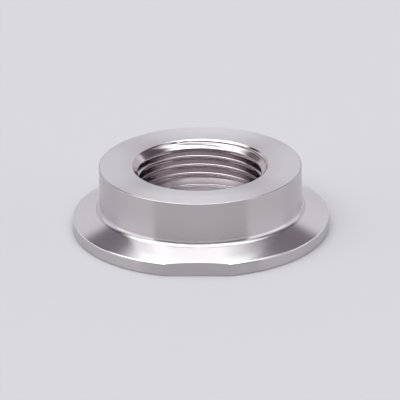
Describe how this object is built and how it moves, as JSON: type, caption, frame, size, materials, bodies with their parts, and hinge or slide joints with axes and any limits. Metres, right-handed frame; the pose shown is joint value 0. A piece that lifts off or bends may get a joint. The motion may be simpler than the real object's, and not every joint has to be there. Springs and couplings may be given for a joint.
{
  "type": "sanitary clamp threaded adapter",
  "caption": "Turned stainless steel pipe adapter: a clamp flange with a sloped back, a gasket groove and a milled flat, under a short round body with an internal parallel thread.",
  "frame": {"origin": "on the thread's axis, in the plane of the flange's sealing face", "axes": "+Z along the thread's axis, from the flange to the threaded mouth; -Y towards the milled flat on the rim"},
  "size_m": [0.064, 0.063, 0.0166],
  "materials": {
    "stainless_steel": "fine turned, satin bright"
  },
  "bodies": {
    "root": {"clamp_adapter": "stainless_steel"}
  },
  "joints": []
}
